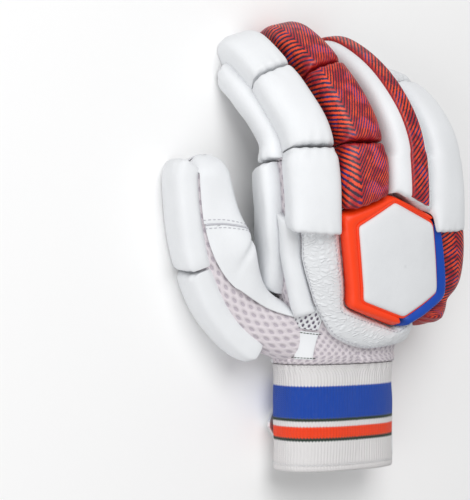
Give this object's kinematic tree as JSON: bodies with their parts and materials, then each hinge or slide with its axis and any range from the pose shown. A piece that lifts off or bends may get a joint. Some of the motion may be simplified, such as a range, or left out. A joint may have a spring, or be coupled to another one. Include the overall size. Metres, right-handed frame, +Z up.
{
  "type": "cricket batting glove",
  "caption": "Right-hand cricket batting glove with padded finger rolls, back plate, thumb guard, leather palm, mesh panels and a knitted cuff with strap",
  "frame": {"origin": "On the surface that the glove lies on, under the middle of its box", "axes": "+Z up, out of the back of the hand; +Y from the cuff to the fingertips; +X to the little finger's side"},
  "size_m": [0.2322, 0.3252, 0.0963],
  "materials": {
    "mesh": "open air mesh over a soft lining",
    "leather": "smooth white glove leather, satin",
    "embossed": "white leather with an embossed grain",
    "patterned": "leather with a woven-look hatch of red, blue and orange",
    "orange": "glossy orange leather",
    "blue": "blue leather",
    "knit": "ribbed elastic knit with colour bands",
    "strap": "smooth white strap with colour bands"
  },
  "bodies": {
    "root": {"gauntlet_pad": "embossed", "hand_shell": "mesh", "hex_border_blue": "blue", "hex_border_orange": "orange", "hex_plate": "leather", "index_front": "leather", "index_roll_1": "leather", "index_roll_2": "leather", "index_roll_3": "leather", "index_side_strip": "leather", "index_stall": "mesh", "knit_cuff": "knit", "little_front": "leather", "little_roll_1": "leather", "little_roll_2": "embossed", "little_stall": "mesh", "middle_front": "leather", "middle_roll_1": "patterned", "middle_roll_2": "patterned", "middle_roll_3": "patterned", "middle_stall": "mesh", "outer_pad": "patterned", "palm_leather": "leather", "ring_front": "leather", "ring_roll": "leather", "ring_stall": "mesh", "ring_strip": "patterned", "side_bar": "leather", "side_tab": "leather", "strap_tab": "strap", "thumb_cap": "leather", "thumb_guard_lower": "leather", "thumb_guard_upper": "leather", "thumb_leather": "leather", "thumb_stall": "mesh", "wrist_strap": "strap"}
  },
  "joints": []
}
